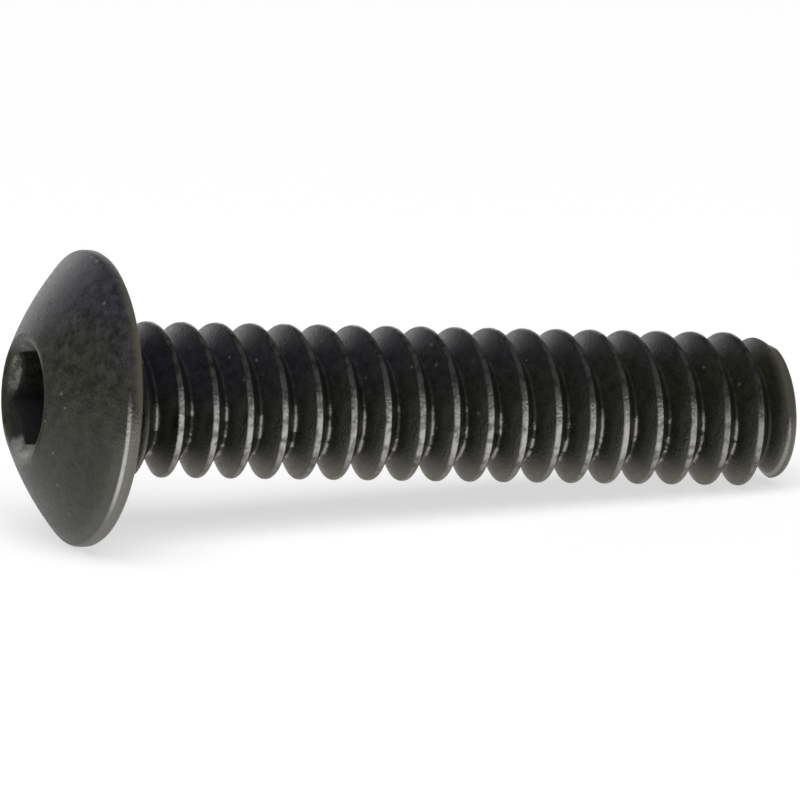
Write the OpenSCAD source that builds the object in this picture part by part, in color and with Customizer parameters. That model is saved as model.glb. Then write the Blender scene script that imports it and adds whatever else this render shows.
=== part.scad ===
// Button head socket cap screw, threaded to the head, lying on its side as it comes to rest.
// The screw is drawn along its own axis, with the bearing face at zero and the tip upwards,
// and laid down at the end, so that its rim and the last full turn of thread touch the ground.

/* [Thread] */
// Outside diameter of the thread
major_d = 3.35; // [3:0.01:3.6]
// Distance from one crest to the next
pitch = 0.79375; // [0.7:0.00125:0.9]
// Angle between the two flanks of a groove
flank_angle = 60; // [55:1:65]
// Width of the flat on the crest
crest_w = 0.1; // [0.06:0.01:0.16]
// Width of the rounded root, measured between the flanks
root_w = 0.14; // [0.08:0.01:0.2]
// How far the root is hollowed below the end of the flanks
root_sag = 0.02; // [0:0.005:0.04]
// Direction around the axis where the crest would start at the bearing face
thread_start = -15; // [-180:1:180]

/* [Shank] */
// Length from the bearing face to the tip
shank_l = 15.875; // [8:0.125:25]
// Diameter of the plain neck under the head
neck_d = 2.94; // [2.85:0.01:3]
// Length over which the thread rises out of the neck
runout_l = 0.6; // [0.3:0.05:1]
// Radius of the fillet between the neck and the bearing face
fillet_r = 0.25; // [0.22:0.01:0.3]
// Length over which the crest sinks towards the tip
lead_l = 0.75; // [0.4:0.05:1.2]
// How soon the crest sinks: 1 is an even slope, less sinks sooner
lead_bend = 0.6; // [0.4:0.05:1]
// Diameter of the crest where it ends at the tip
tip_crest_d = 2.95; // [2.8:0.01:3.2]
// Diameter of the root where it runs out at the tip
tip_root_d = 2.62; // [2.4:0.01:2.75]

/* [Head] */
// Diameter of the head
head_d = 6.35; // [5.8:0.05:6.9]
// Height of the head from the bearing face to the mouth of the socket
head_h = 1.62; // [1.5:0.01:1.9]
// Height of the plain side of the head below the dome
side_h = 0.33; // [0.2:0.01:0.45]
// Radius of the arc that the dome follows
dome_r = 7.9; // [5:0.1:12]
// Rounding where the dome meets the side
brow_r = 0.06; // [0.03:0.01:0.1]
// Rounding where the side meets the bearing face
heel_r = 0.05; // [0.03:0.01:0.1]

/* [Socket] */
// Distance across the flats of the hexagon
hex_af = 1.984; // [1.5:0.001:2.1]
// Depth of the flats below the mouth
hex_depth = 1.12; // [0.8:0.01:1.2]
// Depth of the pointed floor below the flats
floor_depth = 0.2; // [0.1:0.01:0.25]
// Diameter of the bevelled mouth of the socket
mouth_d = 2.6; // [2.5:0.01:2.9]
// Slope of the mouth's bevel, measured from the axis
mouth_angle = 50; // [40:1:60]
// Direction of one corner of the hexagon around the axis
hex_turn = 16; // [0:1:60]

/* [Hidden] */

// Straight faces around one turn of the thread, and the smoothness of the round parts
facets = 48;
round_fn = 160;
// How far the thread's core reaches into the neck, and how much thinner than the neck it starts
core_seat = 0.15;
core_step = 0.02;
// Overshoot of a cutting shape past the surface that it opens
cut = 0.2;

major_r = major_d / 2;
thread_depth = (pitch - crest_w - root_w) / 2 / tan(flank_angle / 2);
root_r = major_r - thread_depth;
core_r = neck_d / 2 - core_step;
thread_z = fillet_r - core_seat;

// One pitch of the thread as [share of the pitch, radius], from the middle of a crest
// to the middle of the next
groove = [
    [crest_w / pitch / 2, major_r],
    [0.5 - root_w / pitch / 2, root_r],
    [0.5, root_r - root_sag],
    [0.5 + root_w / pitch / 2, root_r],
    [1 - crest_w / pitch / 2, major_r],
];
points_per_turn = len(groove);
turns = ceil((shank_l - thread_z) / pitch) + 3;
rows = turns * points_per_turn;

// Share of the full thread height that has risen from the neck at height z
function rise(z) =
    let (t = min(1, max(0, (z - fillet_r) / runout_l)))
    t * t * (3 - 2 * t);

// Share of the lead that lies behind height z
function lead(z) = min(1, max(0, 1 - (shank_l - z) / lead_l));

// Radius at height z of a point that has radius r on the full thread
function thread_radius(r, z) =
    let (risen = core_r + (r - core_r) * rise(z))
    let (roof = major_r + (tip_crest_d / 2 - major_r) * pow(lead(z), lead_bend))
    let (floor_r = root_r - root_sag + (tip_root_d / 2 - root_r + root_sag) * pow(lead(z), 3))
    min(roof, max(floor_r, risen));

// Radius on the full thread at a share s of the pitch after the middle of a crest
function groove_radius(s) =
    let (x = [for (p = groove) p[0]])
    let (y = [for (p = groove) p[1]])
    s <= x[0] || s >= x[4] ? major_r : lookup(s, groove);

// Direction of column a; the ground touches the middle of the face between two columns
function column_angle(a) = 360 * (a + 0.5) / facets;

// Height of a crest on column a that lies below the start of the thread
function column_z(a) =
    let (share = (column_angle(a) - thread_start) / 360)
    (share - floor(share) - 2) * pitch + floor(thread_z / pitch) * pitch;

// Height on column a of the row k of a thread without ends
function free_z(a, k) =
    column_z(a) + (floor(k / points_per_turn) + groove[k % points_per_turn][0]) * pitch;

// First and last row that column a uses: its ends lie on the core's floor and on the tip
function first_row(a) = max([for (k = [0 : rows - 1]) if (free_z(a, k) <= thread_z) k]);
function last_row(a) = min([for (k = [0 : rows - 1]) if (free_z(a, k) >= shank_l) k]);
first_rows = [for (a = [0 : facets - 1]) first_row(a)];
last_rows = [for (a = [0 : facets - 1]) last_row(a)];

// Point in row k of column a, held between the two ends of the thread
function thread_point(a, k) =
    let (z = min(shank_l, max(thread_z, free_z(a, k))))
    let (share = (z - column_z(a)) / pitch)
    let (r = thread_radius(groove_radius(share - floor(share)), z))
    [r * cos(column_angle(a)), r * sin(column_angle(a)), z];

// Number of the point in row k of column a, counting a turn on from the last column
function grid(a, k) =
    let (c = a % facets)
    c * rows + min(last_rows[c], max(first_rows[c], k));

// Rows by which the next column lies ahead: where a new turn starts there, it is one turn
function new_turn(a) = column_z((a + 1) % facets) < column_z(a) ? points_per_turn : 0;

// Where the ground touches the thread and the rim, seen along the bottom line of the screw
bottom_points = [for (k = [first_rows[0] : last_rows[0]]) thread_point(0, k)];
leans = [
    for (p = bottom_points)
        if (p[2] > shank_l / 2)
            let (run = p[2] + heel_r)
            let (drop = head_d / 2 - heel_r - p[0])
            atan2(drop, run) + asin(heel_r / norm([run, drop]))
];
lean = min(leans);
axis_height = (head_d / 2 - heel_r) * cos(lean) - heel_r * sin(lean) + heel_r;
// Middle of the lying screw along the ground, between its mouth and its tip
tip_ring = [for (a = [0 : facets - 1]) thread_point(a, last_rows[a])];
reach_tip = max([for (p = tip_ring) p[2] * cos(lean) - p[0] * sin(lean)]);
reach_head = head_h * cos(lean) + mouth_d / 2 * sin(lean);
middle = (reach_tip - reach_head) / 2;

// Centre of the dome's arc, which runs from the mouth to the top of the side
dome_from = [mouth_d / 2, -head_h];
dome_to = [head_d / 2, -side_h];
dome_chord = dome_to - dome_from;
dome_mid = (dome_from + dome_to) / 2;
dome_drop = sqrt(dome_r * dome_r - pow(norm(dome_chord) / 2, 2));
dome_centre = dome_mid + dome_drop * [-dome_chord[1], dome_chord[0]] / norm(dome_chord);

// Centres of the two roundings on the head, each touching the side, and the second the dome
heel_centre = [head_d / 2 - heel_r, -heel_r];
brow_out = head_d / 2 - brow_r - dome_centre[0];
brow_up = -sqrt(pow(dome_r - brow_r, 2) - pow(brow_out, 2));
brow_centre = dome_centre + [brow_out, brow_up];
brow_way = [brow_out, brow_up] / (dome_r - brow_r);

// Sharp corner outside a rounding of radius r, between its directions from and to
module corner_cut(centre, r, from, to) {
    difference() {
        polygon([centre, centre + (r + cut) * from, centre + (r + cut) * to]);
        translate(centre)
            circle(r = r, $fn = 48);
    }
}

// Turned outline of the head as [radius, height]
module head_outline() {
    difference() {
        intersection() {
            translate([0, -head_h])
                square([head_d / 2, head_h]);
            translate(dome_centre)
                circle(r = dome_r, $fn = 4 * round_fn);
        }
        corner_cut(heel_centre, heel_r, [1, 0], [0, 1]);
        corner_cut(brow_centre, brow_r, [1, 0], brow_way);
    }
}

module head_blank() {
    rotate_extrude($fn = round_fn)
        head_outline();
}

// Fillet and plain neck that carry the head over to the threaded core
module neck() {
    rotate_extrude($fn = round_fn)
        difference() {
            translate([0, -side_h])
                square([neck_d / 2 + fillet_r, side_h + fillet_r]);
            translate([neck_d / 2 + fillet_r, fillet_r])
                circle(r = fillet_r, $fn = 96);
        }
}

module threaded_core() {
    points = [for (a = [0 : facets - 1]) for (k = [0 : rows - 1]) thread_point(a, k)];
    wall = [
        for (a = [0 : facets - 1])
            for (k = [-points_per_turn : rows - 2])
                let (s = new_turn(a))
                let (low = grid(a, k))
                let (high = grid(a, k + 1))
                let (next_low = grid(a + 1, k + s))
                let (next_high = grid(a + 1, k + 1 + s))
                for (face = [[low, high, next_high], [low, next_high, next_low]])
                    if (face[0] != face[1] && face[1] != face[2] && face[0] != face[2])
                        face
    ];
    floor_face = [for (a = [0 : facets - 1]) grid(a, 0)];
    tip_face = [for (a = [facets - 1 : -1 : 0]) grid(a, rows - 1)];
    polyhedron(concat(points), concat(wall, [floor_face], [tip_face]), convexity = 20);
}

module socket() {
    bevel_depth = cut / tan(mouth_angle);
    mouth_z = -head_h;
    floor_z = mouth_z + hex_depth;
    corner_r = hex_af / 2 / cos(30);
    rotate([0, 0, hex_turn])
        translate([0, 0, mouth_z - cut])
            cylinder(r = corner_r, h = hex_depth + cut, $fn = 6);
    translate([0, 0, floor_z - 0.001])
        cylinder(r1 = hex_af / 2, r2 = 0, h = floor_depth, $fn = round_fn);
    translate([0, 0, mouth_z - bevel_depth])
        cylinder(
            r1 = mouth_d / 2 + cut,
            r2 = 0,
            h = (mouth_d / 2 + cut) / tan(mouth_angle),
            $fn = round_fn
        );
}

module screw() {
    color("#3a3b3c")
        translate([-middle, 0, axis_height])
            rotate([0, 90 + lean, 0]) {
                difference() {
                    union() {
                        head_blank();
                        neck();
                    }
                    socket();
                }
                threaded_core();
            }
}

screw();
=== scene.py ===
import math
from functools import reduce

import bpy
from mathutils import Matrix, Vector


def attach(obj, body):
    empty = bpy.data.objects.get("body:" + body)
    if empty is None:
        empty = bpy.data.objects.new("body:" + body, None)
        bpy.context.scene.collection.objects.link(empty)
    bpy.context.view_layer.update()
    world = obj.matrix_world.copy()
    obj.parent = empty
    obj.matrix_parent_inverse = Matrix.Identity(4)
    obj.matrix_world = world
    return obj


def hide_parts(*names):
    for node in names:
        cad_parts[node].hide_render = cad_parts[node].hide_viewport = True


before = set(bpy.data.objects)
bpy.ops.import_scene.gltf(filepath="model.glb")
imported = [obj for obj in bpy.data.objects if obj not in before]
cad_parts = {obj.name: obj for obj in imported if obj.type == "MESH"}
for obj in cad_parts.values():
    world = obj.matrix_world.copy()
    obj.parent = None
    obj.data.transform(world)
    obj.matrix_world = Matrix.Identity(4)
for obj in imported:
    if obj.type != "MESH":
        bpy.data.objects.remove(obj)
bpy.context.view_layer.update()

# The screw is drawn in millimetres along its own axis, as in the part's source: the bearing
# face is at 0, the head lies below it and the tip above it. It is laid down at the end.
MM = 0.001

# Straight faces around one turn of the thread, and around the head
COLUMNS = 168

# Thread
MAJOR_R = 1.675
ROOT_R = 1.19
PITCH = 0.79375
CREST_W = 0.12
CREST_ROUND = 0.09
ROOT_W = 0.07
ROOT_ROUND = 0.05
# Direction around the axis, in degrees, where a crest starts at the bearing face
THREAD_START = -15.0
# Turns wound below the bearing face, and in all beyond the length of the shank
TURNS_BELOW = 2
TURNS_SPARE = 4

# Shank and tip: the thread rises out of the neck along the runout and sinks along the lead
SHANK_L = 15.875
NECK_R = 1.47
FILLET_R = 0.25
FILLET_STEPS = 8
RUNOUT_L = 0.6
LEAD_L = 0.75
# How soon the crest sinks: 1 is an even slope, less sinks sooner
LEAD_BEND = 0.6
TIP_CREST_R = 1.475
TIP_ROOT_R = 1.31
TIP_ROUND = 0.16
TIP_STEPS = 5
# Shares by which the rings on the face of the tip shrink, one after the other
TIP_RINGS = (0.85, 0.7, 0.4)
# Slope of the cropped end, and the length of shank that goes over to it
END_SLANT = 0.085
SLANT_L = 0.5

# Head
HEAD_R = 3.175
HEAD_H = 1.62
SIDE_H = 0.33
DOME_R = 7.9
DOME_STEPS = 28
BROW_R = 0.12
HEEL_R = 0.17

# Socket: a rounded lip, a bevel down to the entry, a steeper one, and the walls of the hexagon
HEX_AF = 1.984
HEX_DEPTH = 1.12
HEX_TURN = 16.0
# Width of the edge between a wall and the bevel, and where the middle of its rounding lies,
# out and down, as shares of that width
HEX_EDGE = 0.02
EDGE_MIDDLE = (0.25, 0.35)
FLOOR_DEPTH = 0.2
MOUTH_R = 1.3
MOUTH_ANGLE = math.radians(50)
MOUTH_ROUND = 0.18
ENTRY_R = 1.185
ENTRY_ANGLE = math.radians(43)
MOUTH_Z = -HEAD_H
ENTRY_Z = MOUTH_Z + (MOUTH_R - ENTRY_R) / math.tan(MOUTH_ANGLE)
FLOOR_Z = MOUTH_Z + HEX_DEPTH

# The round rings that become the walls: their radius, length and number, and the ring next to
# the mouth that becomes the outer side of their edge
WALL_R = 1.06
WALL_L = 0.9
WALL_STEPS = 8
EDGE_R = 1.12
EDGE_Z = MOUTH_Z + 0.2
FLOOR_RINGS = ((0.0, FLOOR_DEPTH), (0.5, FLOOR_DEPTH / 2), (0.97, 0.004))

# How the screw lies: the dip of its axis, the height of the bearing face's middle above
# the ground and the distance of that middle from the middle of the box
LEAN = math.radians(5.59962)
AXIS_HEIGHT = 3.14280
MIDDLE = 7.09287
LAID = Matrix.Rotation(math.radians(90) + LEAN, 4, "Y")

# Distances within which corners are merged, cut through or counted as being at a place
MERGE = 0.0005
CUT_SLACK = 0.0001
SLIVER = 0.0002
NEAR = 0.001

# Gap on the neck that joins the head to the shank, and the angle below which faces are smooth
NECK_GAP = 0.004
SMOOTH_ANGLE = math.radians(38)

# Height on the fillet where the finish of the head goes over to that of the thread
FINISH_BORDER = 0.05


# Helpers for work in edit mode

def deselect_all():
    if bpy.context.object and bpy.context.object.mode != "OBJECT":
        bpy.ops.object.mode_set(mode="OBJECT")
    bpy.ops.object.select_all(action="DESELECT")


def make_active(piece):
    deselect_all()
    piece.select_set(True)
    bpy.context.view_layer.objects.active = piece


def edit_all():
    bpy.ops.object.mode_set(mode="EDIT")
    bpy.ops.mesh.select_all(action="SELECT")


def select_rim(piece, wanted):
    """Selects the open rim of the piece where its place is wanted, with nothing else selected."""
    bpy.ops.object.mode_set(mode="EDIT")
    bpy.ops.mesh.select_mode(type="VERT")
    bpy.ops.mesh.select_all(action="DESELECT")
    bpy.ops.mesh.select_non_manifold()
    bpy.ops.object.mode_set(mode="OBJECT")
    rim = {v.index for v in piece.data.vertices if v.select and wanted(v.co)}
    bpy.ops.object.mode_set(mode="EDIT")
    bpy.ops.mesh.select_all(action="DESELECT")
    bpy.ops.object.mode_set(mode="OBJECT")
    for v in piece.data.vertices:
        v.select = v.index in rim
    bpy.ops.object.mode_set(mode="EDIT")


def cut_off(height, **side):
    """Cuts the whole mesh across the axis at a height and clears one side."""
    bpy.ops.mesh.select_all(action="SELECT")
    bpy.ops.mesh.bisect(plane_co=(0, 0, height), plane_no=(0, 0, 1), threshold=CUT_SLACK, **side)


def extrude_by(x, z):
    bpy.ops.mesh.extrude_region_move(TRANSFORM_OT_translate={"value": (x, 0, z)})


def draw_ring(up, share):
    """Extrudes the selected ring up the axis and shrinks it to a share of its size."""
    extrude_by(0, up)
    bpy.ops.transform.resize(value=(share, share, 1), center_override=(0, 0, 0))


def draw_outline(name, points):
    """A chain of edges through points (radius, height) in the XZ plane, drawn by extruding
    one corner from point to point."""
    deselect_all()
    bpy.ops.mesh.primitive_plane_add(size=1)
    piece = bpy.context.object
    piece.name = name
    edit_all()
    bpy.ops.mesh.merge(type="CENTER")
    r, z = points[0]
    bpy.ops.transform.translate(value=(r, 0, z))
    for (r0, z0), (r1, z1) in zip(points, points[1:]):
        extrude_by(r1 - r0, z1 - z0)
    bpy.ops.object.mode_set(mode="OBJECT")
    return piece


def rounded(corners, steps=4):
    """Points along an open line of corners (x, y, rounding radius), with each corner rounded."""
    points = [Vector(corners[0][:2])]
    for before, here, after in zip(corners, corners[1:], corners[2:]):
        p = Vector(here[:2])
        if not here[2]:
            points.append(p)
            continue
        to_before = (Vector(before[:2]) - p).normalized()
        to_after = (Vector(after[:2]) - p).normalized()
        half = to_before.angle(to_after) / 2
        middle = p + (to_before + to_after).normalized() * here[2] / math.sin(half)
        start = p + to_before * here[2] / math.tan(half) - middle
        end = p + to_after * here[2] / math.tan(half) - middle
        for i in range(steps + 1):
            way = start.lerp(end, i / steps).normalized()
            points.append(middle + way * here[2])
    points.append(Vector(corners[-1][:2]))
    return [tuple(p) for p in points]


def move_to_radius(v, r):
    """Moves a corner straight out from the axis, or straight in towards it."""
    share = r / math.hypot(v.co.x, v.co.y)
    v.co.x *= share
    v.co.y *= share


def clamped(t):
    return min(1.0, max(0.0, t))


def smooth_step(t):
    t = clamped(t)
    return t * t * (3 - 2 * t)


# Threaded shank

def thread_radius(r, z):
    """Radius at height z of a point that has radius r on the full thread."""
    risen = NECK_R + (r - NECK_R) * smooth_step((z - FILLET_R) / RUNOUT_L)
    lead = clamped(1 - (SHANK_L - z) / LEAD_L)
    roof = MAJOR_R + (TIP_CREST_R - MAJOR_R) * lead ** LEAD_BEND
    root = ROOT_R + (TIP_ROOT_R - ROOT_R) * lead ** 3
    return min(roof, max(root, risen))


def wind_thread():
    """The outline of one groove, wound round the axis and cut to the length of the shank."""
    groove = rounded([
        (0.0, MAJOR_R, 0),
        (CREST_W / 2, MAJOR_R, CREST_ROUND),
        (PITCH / 2 - ROOT_W / 2, ROOT_R, ROOT_ROUND),
        (PITCH / 2 + ROOT_W / 2, ROOT_R, ROOT_ROUND),
        (PITCH - CREST_W / 2, MAJOR_R, CREST_ROUND),
        (PITCH, MAJOR_R, 0),
    ])
    first_z = -TURNS_BELOW * PITCH - PITCH * THREAD_START / 360
    shank = draw_outline("button_head_screw", [(r, first_z + z) for z, r in groove])
    wind = shank.modifiers.new("wind", "SCREW")
    wind.axis = "Z"
    wind.angle = 2 * math.pi
    wind.screw_offset = PITCH
    wind.iterations = math.ceil(SHANK_L / PITCH) + TURNS_SPARE
    wind.steps = COLUMNS
    wind.render_steps = COLUMNS
    wind.use_merge_vertices = False
    bpy.ops.object.modifier_apply(modifier="wind")
    edit_all()
    bpy.ops.mesh.remove_doubles(threshold=MERGE)
    cut_off(FILLET_R, clear_inner=True)
    cut_off(SHANK_L - TIP_ROUND, clear_outer=True)
    bpy.ops.mesh.select_all(action="SELECT")
    bpy.ops.mesh.dissolve_degenerate(threshold=SLIVER)
    bpy.ops.object.mode_set(mode="OBJECT")
    for v in shank.data.vertices:
        move_to_radius(v, thread_radius(math.hypot(v.co.x, v.co.y), v.co.z))
    return shank


def round_tip(shank):
    """Draws the last ring in over the tip in small steps, and closes it in the middle."""
    select_rim(shank, lambda co: co.z > SHANK_L / 2)
    angles = [math.radians(90 * i / TIP_STEPS) for i in range(TIP_STEPS + 1)]
    for a0, a1 in zip(angles, angles[1:]):
        r0 = TIP_CREST_R - TIP_ROUND * (1 - math.cos(a0))
        r1 = TIP_CREST_R - TIP_ROUND * (1 - math.cos(a1))
        draw_ring(TIP_ROUND * (math.sin(a1) - math.sin(a0)), r1 / r0)
    for share in TIP_RINGS:
        draw_ring(0, share)
    extrude_by(0, 0)
    bpy.ops.mesh.merge(type="CENTER")
    bpy.ops.object.mode_set(mode="OBJECT")


def crop_askew(shank):
    """Leans the end over a little, as if it was cropped askew."""
    for v in shank.data.vertices:
        t = (v.co.z - SHANK_L + SLANT_L) / (SLANT_L - TIP_ROUND)
        v.co.z += END_SLANT * v.co.x * smooth_step(t)


# Head, from the middle of the socket's floor to the neck

def dome_corners():
    """Corners (radius, height, rounding radius) along the dome, from the mouth to the side."""
    chord = Vector((HEAD_R - MOUTH_R, HEAD_H - SIDE_H))
    chord_middle = Vector((HEAD_R + MOUTH_R, -SIDE_H - HEAD_H)) / 2
    drop = math.sqrt(DOME_R ** 2 - (chord.length / 2) ** 2)
    centre = chord_middle + drop * Vector((-chord.y, chord.x)).normalized()
    start = math.atan2(MOUTH_Z - centre.y, MOUTH_R - centre.x)
    end = math.atan2(-SIDE_H - centre.y, HEAD_R - centre.x)
    arc = []
    for i in range(1, DOME_STEPS):
        a = start + (end - start) * i / DOME_STEPS
        arc.append((centre.x + DOME_R * math.cos(a), centre.y + DOME_R * math.sin(a), 0))
    return [(MOUTH_R, MOUTH_Z, MOUTH_ROUND)] + arc + [(HEAD_R, -SIDE_H, BROW_R)]


def fillet_points():
    """Points of the fillet from the bearing face to just short of the shank's first ring."""
    points = []
    for i in range(1, FILLET_STEPS):
        a = math.radians(90 * i / FILLET_STEPS)
        r = NECK_R + FILLET_R * (1 - math.sin(a))
        points.append((r, FILLET_R * (1 - math.cos(a))))
    return points + [(NECK_R, FILLET_R - NECK_GAP)]


def spin_head():
    """The outline of the head, spun round the axis with a round socket."""
    floor_points = [(r, FLOOR_Z + depth) for r, depth in FLOOR_RINGS]
    wall = [(WALL_R, FLOOR_Z - WALL_L * i / WALL_STEPS) for i in range(WALL_STEPS + 1)]
    lip = [(EDGE_R, EDGE_Z, 0), (ENTRY_R, ENTRY_Z, 0)]
    back = [(HEAD_R, 0, HEEL_R), (NECK_R + FILLET_R, 0, 0)]
    outside = rounded(lip + dome_corners() + back)
    head = draw_outline("head", floor_points + wall + outside + fillet_points())
    edit_all()
    bpy.ops.mesh.spin(steps=COLUMNS, angle=2 * math.pi, center=(0, 0, 0), axis=(0, 0, 1),
                      use_auto_merge=True)
    bpy.ops.mesh.select_all(action="SELECT")
    bpy.ops.mesh.remove_doubles(threshold=MERGE)
    bpy.ops.object.mode_set(mode="OBJECT")
    return head


def hexagon_radius(angle):
    turned = (angle + math.pi / 6) % (math.pi / 3) - math.pi / 6
    return HEX_AF / 2 / math.cos(math.pi / 6 - abs(turned))


def bevel_z(r):
    """Height on the axis of the steeper bevel, inside the entry, at radius r."""
    return ENTRY_Z + (ENTRY_R - r) / math.tan(ENTRY_ANGLE)


def press_hexagon(head):
    """Pushes the walls of the socket out to the hexagon, up to where they meet the bevel, with
    a small rounded edge between the two, and turns the hexagon as in the photograph."""
    for v in head.data.vertices:
        r = math.hypot(v.co.x, v.co.y)
        flat_r = hexagon_radius(math.atan2(v.co.y, v.co.x))
        step = round((FLOOR_Z - v.co.z) / WALL_L * WALL_STEPS)
        if abs(r - WALL_R) < NEAR and step < WALL_STEPS:
            new_r = flat_r
            wall_top = bevel_z(flat_r) + HEX_EDGE
            v.co.z = FLOOR_Z + (wall_top - FLOOR_Z) * (step / (WALL_STEPS - 1))
        elif abs(r - WALL_R) < NEAR:
            new_r = flat_r + HEX_EDGE * EDGE_MIDDLE[0]
            v.co.z = bevel_z(flat_r) + HEX_EDGE * EDGE_MIDDLE[1]
        elif abs(r - EDGE_R) < NEAR and abs(v.co.z - EDGE_Z) < NEAR:
            new_r = flat_r + HEX_EDGE
            v.co.z = bevel_z(new_r)
        else:
            continue
        move_to_radius(v, new_r)
    head.rotation_euler = (0, 0, math.radians(HEX_TURN))
    make_active(head)
    bpy.ops.object.transform_apply(location=False, rotation=True, scale=False)


# Whole screw

def join_at_neck(shank, head):
    """Makes one closed mesh of the two, with a band of faces across the gap on the neck."""
    make_active(shank)
    head.select_set(True)
    bpy.ops.object.join()
    whole = bpy.context.object
    select_rim(whole, lambda co: abs(co.z - FILLET_R) < 2 * NECK_GAP)
    bpy.ops.mesh.bridge_edge_loops()
    bpy.ops.mesh.select_mode(type="VERT")
    bpy.ops.mesh.select_all(action="SELECT")
    bpy.ops.mesh.normals_make_consistent(inside=False)
    bpy.ops.object.mode_set(mode="OBJECT")
    return whole


def lay_down(whole):
    """Lays the screw on its rim and its last full thread, in metres."""
    place = Matrix.Translation((-MIDDLE * MM, 0, AXIS_HEIGHT * MM))
    whole.matrix_world = place @ LAID @ Matrix.Scale(MM, 4)
    make_active(whole)
    bpy.ops.object.transform_apply(location=True, rotation=True, scale=True)
    bpy.ops.object.shade_smooth_by_angle(angle=SMOOTH_ANGLE)


threaded = wind_thread()
round_tip(threaded)
crop_askew(threaded)
button = spin_head()
press_hexagon(button)
screw = join_at_neck(threaded, button)
lay_down(screw)
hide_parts("screw")
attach(screw, "root")


# Helpers for shader nodes

NODE_SPACING = 220


def grey(value):
    return (value, value, value, 1)


def feed(tree, socket, value):
    """Links a socket to the output that feeds it, or sets it to a constant."""
    if isinstance(value, bpy.types.NodeSocket):
        tree.links.new(value, socket)
    else:
        socket.default_value = value


def add(tree, kind, **values):
    """A node with its settings, and its sockets fed with constants or outputs."""
    node = tree.nodes.new("ShaderNode" + kind)
    for key, value in values.items():
        if hasattr(node, key):
            setattr(node, key, value)
        else:
            feed(tree, node.inputs[key.replace("_", " ")], value)
    return node


def maths(tree, operation, *values):
    """Output of a Math node that is fed with the values."""
    node = add(tree, "Math", operation=operation)
    for socket, value in zip(node.inputs, values):
        feed(tree, socket, value)
    return node.outputs[0]


def product(tree, *factors):
    """Factors multiplied by each other, as masks that all have to hold."""
    return reduce(lambda a, b: maths(tree, "MULTIPLY", a, b), factors)


def largest(tree, *masks):
    """The strongest of several masks at each place."""
    return reduce(lambda a, b: maths(tree, "MAXIMUM", a, b), masks)


def fade(tree, value, start, end, low=0.0, high=1.0):
    """Mask that runs smoothly from low, where the value is at start, to high at end."""
    node = add(tree, "MapRange", interpolation_type="SMOOTHSTEP", Value=value,
               From_Min=start, From_Max=end, To_Min=low, To_Max=high)
    return node.outputs[0]


def blend(tree, share, under, over, way="MIX"):
    """Lays one colour over another by a share, mixed or multiplied as the way says."""
    node = add(tree, "Mix", data_type="RGBA", blend_type=way)
    for index, value in ((0, share), (6, under), (7, over)):
        feed(tree, node.inputs[index], value)
    return node.outputs[2]


def noise(tree, place, scale, detail, roughness=0.5):
    return add(tree, "TexNoise", Vector=place, Scale=scale, Detail=detail, Roughness=roughness)


def arrange(tree):
    """Sets the nodes out in columns, each of them left of all that it feeds."""
    column = {node.name: 0 for node in tree.nodes}
    moved = True
    while moved:
        moved = False
        for link in tree.links:
            after = column[link.to_node.name] + 1
            if column[link.from_node.name] < after:
                column[link.from_node.name] = after
                moved = True
    row = {}
    for node in tree.nodes:
        place = column[node.name]
        row[place] = row.get(place, 0) + 1
        node.location = (-NODE_SPACING * place, -NODE_SPACING * row[place])


def new_group(name, outputs, inputs):
    """An empty node group with named outputs and number inputs. Returns it, what comes in and
    what goes out."""
    group = bpy.data.node_groups.new(name, "ShaderNodeTree")
    for key, kind in outputs.items():
        group.interface.new_socket(key, in_out="OUTPUT", socket_type="NodeSocket" + kind)
    for key, value in inputs.items():
        socket = group.interface.new_socket(key, in_out="INPUT", socket_type="NodeSocketFloat")
        socket.default_value = value
    given = group.nodes.new("NodeGroupInput").outputs
    result = group.nodes.new("NodeGroupOutput").inputs
    return group, given, result


# Node groups that the finishes are built from

# Most that the border of the cast drifts, and how far the pits push a speck's outline
CAST_DRIFT = 2.0
SPECK_FRAY = (0.09, 0.09, 0.09)
# Keeps a division from being by nothing
TINY = 0.001


def build_screw_place():
    """Place on the screw itself in millimetres, across and along its axis, and Underside, which
    runs from -1 on top of the lying screw to 1 underneath it."""
    outputs = {"Place": "Vector", "Radius": "Float", "Height": "Float", "Underside": "Float"}
    tree, _, result = new_group("screw place", outputs, {})
    upright = LAID.to_3x3().inverted()
    turn = add(tree, "Mapping", Vector=add(tree, "TexCoord").outputs["Object"],
               Rotation=upright.to_euler(), Scale=(1 / MM, 1 / MM, 1 / MM),
               Location=upright @ Vector((MIDDLE, 0, -AXIS_HEIGHT)))
    x, y, z = add(tree, "SeparateXYZ", Vector=turn.outputs[0]).outputs
    squares = maths(tree, "ADD", product(tree, x, x), product(tree, y, y))
    radius = maths(tree, "SQRT", squares)
    feed(tree, result["Place"], turn.outputs[0])
    feed(tree, result["Radius"], radius)
    feed(tree, result["Height"], z)
    feed(tree, result["Underside"], maths(tree, "DIVIDE", x, radius))
    arrange(tree)
    return tree


def painted_reflection_tint(tree, place, given):
    """Painted tint of reflected light, from 0 low on the lying screw to 1 at its top, with a
    border that drifts up and down."""
    position = add(tree, "TexCoord").outputs["Object"]
    level = maths(tree, "DIVIDE", add(tree, "SeparateXYZ", Vector=position).outputs["Z"], MM)
    drift = product(tree, noise(tree, place, scale=0.9, detail=2.0).outputs[0], CAST_DRIFT)
    return fade(tree, maths(tree, "ADD", level, drift), given["Cast from"], given["Cast to"])


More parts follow.
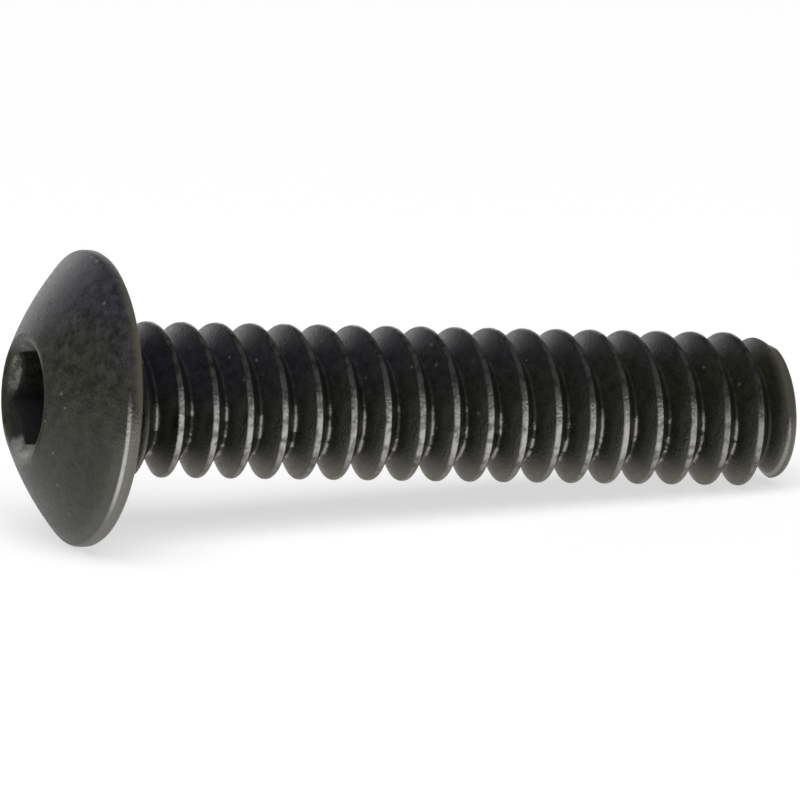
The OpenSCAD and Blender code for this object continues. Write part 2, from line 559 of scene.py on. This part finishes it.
def pale_specks(tree, place, pits):
    """A few specks of many sizes, their outlines frayed by the pits."""
    frayed = add(tree, "VectorMath", operation="MULTIPLY_ADD")
    for socket, value in zip(frayed.inputs, (pits.outputs[1], SPECK_FRAY, place)):
        feed(tree, socket, value)
    cells = add(tree, "TexVoronoi", Vector=frayed.outputs[0], Scale=3.0)
    tone = add(tree, "SeparateColor", Color=cells.outputs["Color"]).outputs[0]
    size = fade(tree, tone, start=0.3, end=1.0, high=0.19)
    share = maths(tree, "DIVIDE", cells.outputs["Distance"], maths(tree, "ADD", size, TINY))
    return fade(tree, share, start=1.0, end=0.4)


def build_oxide_grain():
    """Grain of the oxide: fine pits, soft mottling, a painted tint of reflected light and specks.
    """
    outputs = {"Pits": "Float", "Mottle": "Float", "Cast": "Float", "Specks": "Float"}
    inputs = {"Pit size": 0.05, "Cast from": 3.2, "Cast to": 5.6}
    tree, given, result = new_group("oxide grain", outputs, inputs)
    place = add(tree, "Group", node_tree=screw_place).outputs["Place"]
    per_mm = maths(tree, "DIVIDE", 1.0, given["Pit size"])
    pits = noise(tree, place, scale=per_mm, detail=3.0, roughness=0.6)
    mottle = noise(tree, place, scale=4.5, detail=6.0, roughness=0.72).outputs[0]
    feed(tree, result["Pits"], pits.outputs[0])
    feed(tree, result["Mottle"], fade(tree, mottle, start=0.3, end=0.7))
    feed(tree, result["Cast"], painted_reflection_tint(tree, place, given))
    feed(tree, result["Specks"], pale_specks(tree, place, pits))
    arrange(tree)
    return tree


def build_edge_wear():
    """Wear, broken by scuffs, on an edge that runs round the screw at one radius and height."""
    inputs = {"Edge radius": 3.15, "Edge height": -0.32, "Width": 0.05}
    tree, given, result = new_group("edge wear", {"Wear": "Float"}, inputs)
    at = add(tree, "Group", node_tree=screw_place).outputs
    across = maths(tree, "SUBTRACT", at["Radius"], given["Edge radius"])
    along = maths(tree, "SUBTRACT", at["Height"], given["Edge height"])
    squares = maths(tree, "ADD", product(tree, across, across), product(tree, along, along))
    reach = maths(tree, "DIVIDE", maths(tree, "SQRT", squares), given["Width"])
    scuffs = noise(tree, at["Place"], scale=6.0, detail=4.0, roughness=0.7).outputs[0]
    near = fade(tree, reach, start=1.0, end=0.3)
    broken = fade(tree, scuffs, start=0.2, end=0.5, low=0.55)
    feed(tree, result["Wear"], product(tree, near, broken))
    arrange(tree)
    return tree


# Black oxide worn through to bare steel, as both finishes have it

OLIVE_CAST = (1.0, 1.02, 0.72, 1)
VIOLET_CAST = (1.0, 0.95, 1.24, 1)
PIT_SHADE = (grey(0.3), grey(1.8))
OXIDE_IOR = 1.48
# How the pits lower and raise the roughness, and how much the mottling adds
PIT_ROUGHNESS = (-0.08, 0.1)
MOTTLE_ROUGHNESS = 0.06
BARE_ROUGHNESS = 0.3


def black_oxide(name, dark, light, speck, roughness, pit_size, pit_depth, cast_span):
    """Black oxide with its grain and a painted tint of reflected light. Returns the material, the
    colour and the roughness, for its own finish to go on from."""
    material = bpy.data.materials.new(name)
    material.use_nodes = True
    tree = material.node_tree
    shader = tree.nodes["Principled BSDF"]
    shader.inputs["IOR"].default_value = OXIDE_IOR
    grain = add(tree, "Group", node_tree=oxide_grain, Pit_size=pit_size,
                Cast_from=cast_span[0], Cast_to=cast_span[1]).outputs
    oxide = blend(tree, grain["Mottle"], dark, light)
    # Painted tint of reflected light: olive low on the lying screw, violet on top
    cast = blend(tree, grain["Cast"], OLIVE_CAST, VIOLET_CAST)
    shade = blend(tree, grain["Pits"], *PIT_SHADE)
    colour = blend(tree, 1.0, oxide, cast, "MULTIPLY")
    colour = blend(tree, 1.0, colour, shade, "MULTIPLY")
    colour = blend(tree, grain["Specks"], colour, speck)
    rough = fade(tree, grain["Pits"], start=0.3, end=0.7, low=roughness + PIT_ROUGHNESS[0],
                 high=roughness + PIT_ROUGHNESS[1])
    rough = maths(tree, "ADD", rough, product(tree, grain["Mottle"], MOTTLE_ROUGHNESS))
    bump = add(tree, "Bump", Strength=1.0, Distance=pit_depth * MM, Height=grain["Pits"])
    feed(tree, shader.inputs["Normal"], bump.outputs[0])
    return material, colour, rough


def wear_through(material, colour, rough, wear, bare):
    """Lets the bare steel show through the oxide where it is worn."""
    tree = material.node_tree
    shader = tree.nodes["Principled BSDF"]
    worn_rough = add(tree, "MapRange", Value=wear, To_Min=rough, To_Max=BARE_ROUGHNESS)
    feed(tree, shader.inputs["Base Color"], blend(tree, wear, colour, bare))
    feed(tree, shader.inputs["Metallic"], fade(tree, wear, start=0.0, end=0.12))
    feed(tree, shader.inputs["Roughness"], worn_rough.outputs[0])
    arrange(tree)


# Satin finish of the head

RIM_FILM = (0.16, 0.145, 0.105, 1)
LIP_HIGHLIGHT_PAINT = (0.25, 0.245, 0.235, 1)
SOCKET_SHADE_PAINT = (0.02, 0.02, 0.021, 1)
MATT_LIP_ROUGHNESS = 0.4


def rim_wear_and_highlight(tree, at):
    """The rubbed line on the brow, which is also a painted highlight line, and the fainter wear
    and painted sheen on the side and the edge of the dome. It leaves the upper half of the head
    alone."""
    line = add(tree, "Group", node_tree=edge_wear, Edge_radius=HEAD_R - 0.03,
               Edge_height=-SIDE_H, Width=0.07).outputs[0]
    brow = product(
        tree, line,
        fade(tree, at["Underside"], start=0.35, end=0.75, low=1.0, high=0.3),
        fade(tree, at["Underside"], start=-0.34, end=0.0))
    side = product(
        tree,
        fade(tree, at["Radius"], start=HEAD_R - 0.1, end=HEAD_R - 0.01, high=0.32),
        fade(tree, at["Height"], start=-0.26, end=-0.06, low=1.0, high=0.5),
        fade(tree, at["Underside"], start=-0.25, end=0.05))
    dome_edge = product(
        tree,
        fade(tree, at["Radius"], start=HEAD_R - 0.5, end=HEAD_R - 0.1, high=0.15),
        fade(tree, at["Underside"], start=-0.15, end=0.12))
    return largest(tree, brow, side, dome_edge)


def lip_wear_and_highlights(tree, at, near_mouth, off_level):
    """Worn lip of the socket, with painted highlights above and below, and most of all at its
    lowest part. Inside the mouth it keeps to the upper half."""
    lip = product(
        tree,
        fade(tree, at["Radius"], start=MOUTH_R + 0.12, end=MOUTH_R - 0.04, high=0.11),
        near_mouth,
        fade(tree, off_level, start=0.55, end=0.9))
    low_lip = product(
        tree,
        fade(tree, at["Radius"], start=MOUTH_R + 0.28, end=MOUTH_R - 0.02, high=0.32),
        fade(tree, at["Underside"], start=0.6, end=0.95),
        near_mouth)
    outside = fade(tree, at["Radius"], start=MOUTH_R - 0.08, end=MOUTH_R - 0.02)
    upper_half = fade(tree, at["Underside"], start=0.3, end=0.0)
    return product(tree, largest(tree, lip, low_lip), largest(tree, outside, upper_half))


def bevel_highlight_streaks(tree, at, near_mouth, streaks):
    """Streaks of wear on the upper half of the bevel inside the mouth, painted as its lit stripe.
    """
    return product(
        tree,
        fade(tree, at["Radius"], start=ENTRY_R + 0.01, end=ENTRY_R - 0.03, high=0.24),
        near_mouth,
        fade(tree, streaks, start=0.38, end=0.6, low=0.25),
        fade(tree, at["Underside"], start=0.15, end=0.0))


def rim_film(tree, at):
    """Brownish coating on the side of the head, heavier towards the bearing face."""
    return product(
        tree,
        fade(tree, at["Height"], start=-SIDE_H + 0.01, end=0.04),
        fade(tree, at["Radius"], start=HEAD_R - 0.2, end=HEAD_R - 0.08))


def painted_lip_highlight(tree, at, near_mouth, streaks):
    """Pale streaky patch painted as the highlight on the lowest part of the lip, which faces up.
    """
    return product(
        tree, near_mouth,
        fade(tree, at["Radius"], start=MOUTH_R + 0.05, end=MOUTH_R - 0.03),
        fade(tree, at["Underside"], start=0.82, end=0.95),
        fade(tree, streaks, start=0.35, end=0.6, low=0.6))


def painted_socket_shade(tree, at, lip_highlight):
    """Painted shade over the lower half of the socket's inside, apart from the highlight patch on
    its lip.
    """
    inside = product(
        tree,
        fade(tree, at["Radius"], start=ENTRY_R, end=ENTRY_R - 0.06),
        fade(tree, at["Underside"], start=-0.15, end=0.1))
    return maths(tree, "SUBTRACT", inside, lip_highlight)


def matt_lip(tree, at, off_level):
    """The lip of the socket at mid-height, which is matt."""
    from_lip = maths(tree, "ABSOLUTE", maths(tree, "SUBTRACT", at["Radius"], MOUTH_R))
    return product(
        tree,
        fade(tree, from_lip, start=0.14, end=0.04),
        fade(tree, off_level, start=0.8, end=0.5))


def satin_finish():
    """Satin black oxide, rubbed at the rim and the socket, with painted highlights and painted
    shade.
    Each mask is a product of fades over the radius, the height along the axis and the underside."""
    material, colour, rough = black_oxide(
        "satin black oxide", dark=grey(0.012), light=grey(0.050), speck=(0.17, 0.165, 0.15, 1),
        roughness=0.36, pit_size=0.062, pit_depth=0.019, cast_span=(4.9, 6.9))
    tree = material.node_tree
    at = add(tree, "Group", node_tree=screw_place).outputs
    off_level = maths(tree, "ABSOLUTE", at["Underside"])
    near_mouth = fade(tree, at["Height"], start=MOUTH_Z + 0.34, end=MOUTH_Z + 0.26)
    streaks = noise(tree, at["Place"], scale=4.5, detail=4.0, roughness=0.7).outputs[0]
    lip_highlight = painted_lip_highlight(tree, at, near_mouth, streaks)
    # Wear that is partly real and partly painted highlights on the lower half of the head
    wear = largest(tree, rim_wear_and_highlight(tree, at), lip_wear_and_highlights(tree, at, near_mouth, off_level),
                   bevel_highlight_streaks(tree, at, near_mouth, streaks))
    wear = product(tree, wear, maths(tree, "SUBTRACT", 1.0, lip_highlight))
    colour = blend(tree, rim_film(tree, at), colour, RIM_FILM)
    # A pale patch painted as the highlight on the lip's lowest part
    colour = blend(tree, lip_highlight, colour, LIP_HIGHLIGHT_PAINT)
    # Painted shade in the lower half of the socket
    colour = blend(tree, painted_socket_shade(tree, at, lip_highlight), colour, SOCKET_SHADE_PAINT)
    matt = product(tree, matt_lip(tree, at, off_level), MATT_LIP_ROUGHNESS)
    rough = maths(tree, "ADD", rough, matt)
    wear_through(material, colour, rough, wear, bare=(0.56, 0.545, 0.52, 1))
    return material


# Rolled finish of the thread

# Distance from the end back to the painted highlight line along its edge
EDGE_BACK = 0.22
END_FILM = (0.085, 0.078, 0.064, 1)
UNDERSIDE_REFLECTION_PAINT = (0.11, 0.09, 0.062, 1)


def crest_wear_and_highlight(tree, at):
    """Scuffed crests, partly worn and partly a painted highlight, brightest at mid-height as the
    screw lies, and a little duller at its end."""
    scuffs = noise(tree, at["Place"], scale=4.2, detail=2.5, roughness=0.6).outputs[0]
    return product(
        tree,
        fade(tree, at["Radius"], start=MAJOR_R - 0.045, end=MAJOR_R - 0.002),
        fade(tree, scuffs, start=0.3, end=0.6, low=0.35),
        fade(tree, at["Underside"], start=0.3, end=0.8, low=1.0, high=0.4),
        fade(tree, at["Underside"], start=-0.7, end=-0.15, low=0.7),
        fade(tree, at["Height"], start=SHANK_L - 4.0, end=SHANK_L - 1.0, low=1.0, high=0.7))


def root_highlight_dashes(tree, at):
    """Painted highlight: bright dashes along the bottom of the groove, on the lower half and
    short of the end.
    """
    rubs = noise(tree, at["Place"], scale=3.2, detail=3.0, roughness=0.6).outputs[0]
    return product(
        tree,
        fade(tree, at["Radius"], start=ROOT_R + 0.06, end=ROOT_R + 0.01, high=0.7),
        fade(tree, rubs, start=0.44, end=0.58, low=0.04),
        fade(tree, at["Underside"], start=-0.3, end=0.05),
        fade(tree, at["Height"], start=SHANK_L - 0.7, end=SHANK_L - 0.9))


def shoulder_wear_and_sheen(tree, at):
    """Faint wear and painted sheen on the outer part of the flanks, on the lower half."""
    return product(
        tree,
        fade(tree, at["Radius"], start=MAJOR_R - 0.35, end=MAJOR_R - 0.02, high=0.16),
        fade(tree, at["Underside"], start=-0.35, end=0.25))


def end_wear_and_highlight(tree, at, end_height, on_end):
    """Faint wear and painted sheen on the lower half of the end, with a painted highlight line
    along its edge.
    """
    from_edge = maths(tree, "SUBTRACT", end_height, SHANK_L - EDGE_BACK)
    face = product(
        tree, on_end,
        fade(tree, at["Underside"], start=-0.3, end=0.15, high=0.17))
    line = product(
        tree,
        fade(tree, maths(tree, "ABSOLUTE", from_edge), start=0.06, end=0.01),
        fade(tree, at["Underside"], start=-0.25, end=0.15, high=0.6))
    return largest(tree, face, line)


def painted_underside_reflection(tree, at):
    """Painted reflection: a paler brownish colour along the lowest part of the thread, but not at
    the middle of the tip.
    """
    return product(
        tree,
        fade(tree, at["Underside"], start=0.62, end=0.95),
        fade(tree, at["Radius"], start=0.5, end=1.1))


def rolled_finish():
    """Darker black oxide with bright crests and roots, partly worn and partly painted highlights,
    and a paler end.
    """
    material, colour, rough = black_oxide(
        "rolled black oxide", dark=grey(0.010), light=grey(0.022), speck=(0.085, 0.082, 0.075, 1),
        roughness=0.34, pit_size=0.058, pit_depth=0.018, cast_span=(3.4, 5.2))
    tree = material.node_tree
    at = add(tree, "Group", node_tree=screw_place).outputs
    slant = product(tree, at["Underside"], at["Radius"], END_SLANT)
    end_height = maths(tree, "SUBTRACT", at["Height"], slant)
    on_end = product(
        tree,
        fade(tree, end_height, start=SHANK_L - 0.42, end=SHANK_L - EDGE_BACK),
        fade(tree, at["Radius"], start=1.15, end=1.32))
    # Wear that is partly real and partly painted highlights and sheen on the lower half
    wear = largest(tree, crest_wear_and_highlight(tree, at), root_highlight_dashes(tree, at), shoulder_wear_and_sheen(tree, at),
                   end_wear_and_highlight(tree, at, end_height, on_end))
    colour = blend(tree, on_end, colour, END_FILM)
    # Painted reflection of the lit floor on the lowest part of the thread
    colour = blend(tree, painted_underside_reflection(tree, at), colour, UNDERSIDE_REFLECTION_PAINT)
    wear_through(material, colour, rough, wear, bare=(0.52, 0.505, 0.48, 1))
    return material


def assign_finishes(whole, head_finish, thread_finish):
    """Gives the head, with the start of its fillet, one finish and the shank the other."""
    axis = Vector((math.cos(LEAN), 0, -math.sin(LEAN)))
    bearing_face = Vector((-MIDDLE * MM, 0, AXIS_HEIGHT * MM))
    whole.data.materials.clear()
    whole.data.materials.append(head_finish)
    whole.data.materials.append(thread_finish)
    for face in whole.data.polygons:
        if (face.center - bearing_face).dot(axis) > FINISH_BORDER * MM:
            face.material_index = 1


screw_place = build_screw_place()
oxide_grain = build_oxide_grain()
edge_wear = build_edge_wear()
assign_finishes(screw, satin_finish(), rolled_finish())


# Pale floor with the screw's own shadow on it

FLOOR_SEEN = 0.62
FLOOR_MIRRORED = 0.5


def floor_finish():
    """Matt grey that glows enough to be seen as white, and less in the screw's reflections."""
    material = bpy.data.materials.new("pale floor")
    material.use_nodes = True
    tree = material.node_tree
    matt = tree.nodes["Principled BSDF"]
    matt.inputs["Base Color"].default_value = grey(0.5)
    matt.inputs["Roughness"].default_value = 0.9
    matt.inputs["Specular IOR Level"].default_value = 0.0
    path = add(tree, "LightPath").outputs
    mirrored = largest(tree, path["Is Glossy Ray"], path["Is Transmission Ray"])
    strength = largest(tree, product(tree, path["Is Camera Ray"], FLOOR_SEEN),
                       product(tree, mirrored, FLOOR_MIRRORED))
    glow = add(tree, "Emission", Color=grey(1), Strength=strength)
    both = add(tree, "AddShader")
    feed(tree, both.inputs[0], matt.outputs[0])
    feed(tree, both.inputs[1], glow.outputs[0])
    feed(tree, tree.nodes["Material Output"].inputs["Surface"], both.outputs[0])
    arrange(tree)
    return material


deselect_all()
bpy.ops.mesh.primitive_plane_add(size=6, location=(0, 0, 0))
floor = bpy.context.object
floor.name = "floor"
floor.data.materials.append(floor_finish())


# Light and camera, in metres

CAMERA_PLACE = (-0.08791191, -0.22395286, 0.05693681)
CAMERA_AHEAD = (0.35626183, 0.90797291, -0.22059624)
CAMERA_LENS = 513.743


def softbox(name, width, height, place, radiance):
    """A rectangular lamp that faces the screw."""
    lamp = bpy.data.lights.new(name, "AREA")
    lamp.shape = "RECTANGLE"
    lamp.size = width
    lamp.size_y = height
    lamp.energy = radiance * math.pi * width * height
    box = bpy.data.objects.new(name, lamp)
    bpy.context.collection.objects.link(box)
    box.location = place
    box.rotation_euler = (-Vector(place)).to_track_quat("-Z", "Y").to_euler()
    return box


def set_camera():
    """The camera that the photograph was matched with, held level."""
    camera_data = bpy.data.cameras.new("camera")
    camera_data.lens = CAMERA_LENS
    camera_data.sensor_width = 36
    camera_data.clip_start = 0.01
    camera_data.clip_end = 20
    camera = bpy.data.objects.new("camera", camera_data)
    bpy.context.collection.objects.link(camera)
    camera.location = CAMERA_PLACE
    ahead = Vector(CAMERA_AHEAD)
    right = ahead.cross(Vector((0, 0, 1))).normalized()
    turned = Matrix((right, right.cross(ahead), -ahead)).transposed()
    camera.rotation_euler = turned.to_euler()
    bpy.context.scene.camera = camera


# The key softbox is hidden from mirrored rays, which would draw it on the dome as a square
key = softbox("key softbox", width=0.6, height=0.6, place=(-0.15, -0.30, 0.60), radiance=3.9)
key.visible_glossy = False
softbox("back card", width=1.0, height=0.3, place=(0.05, 0.8, 0.15), radiance=1.5)

world = bpy.data.worlds.new("studio")
world.use_nodes = True
sky = world.node_tree.nodes["Background"]
sky.inputs["Color"].default_value = grey(1)
sky.inputs["Strength"].default_value = 0.1
bpy.context.scene.world = world
set_camera()
bpy.context.scene.view_settings.view_transform = "Standard"
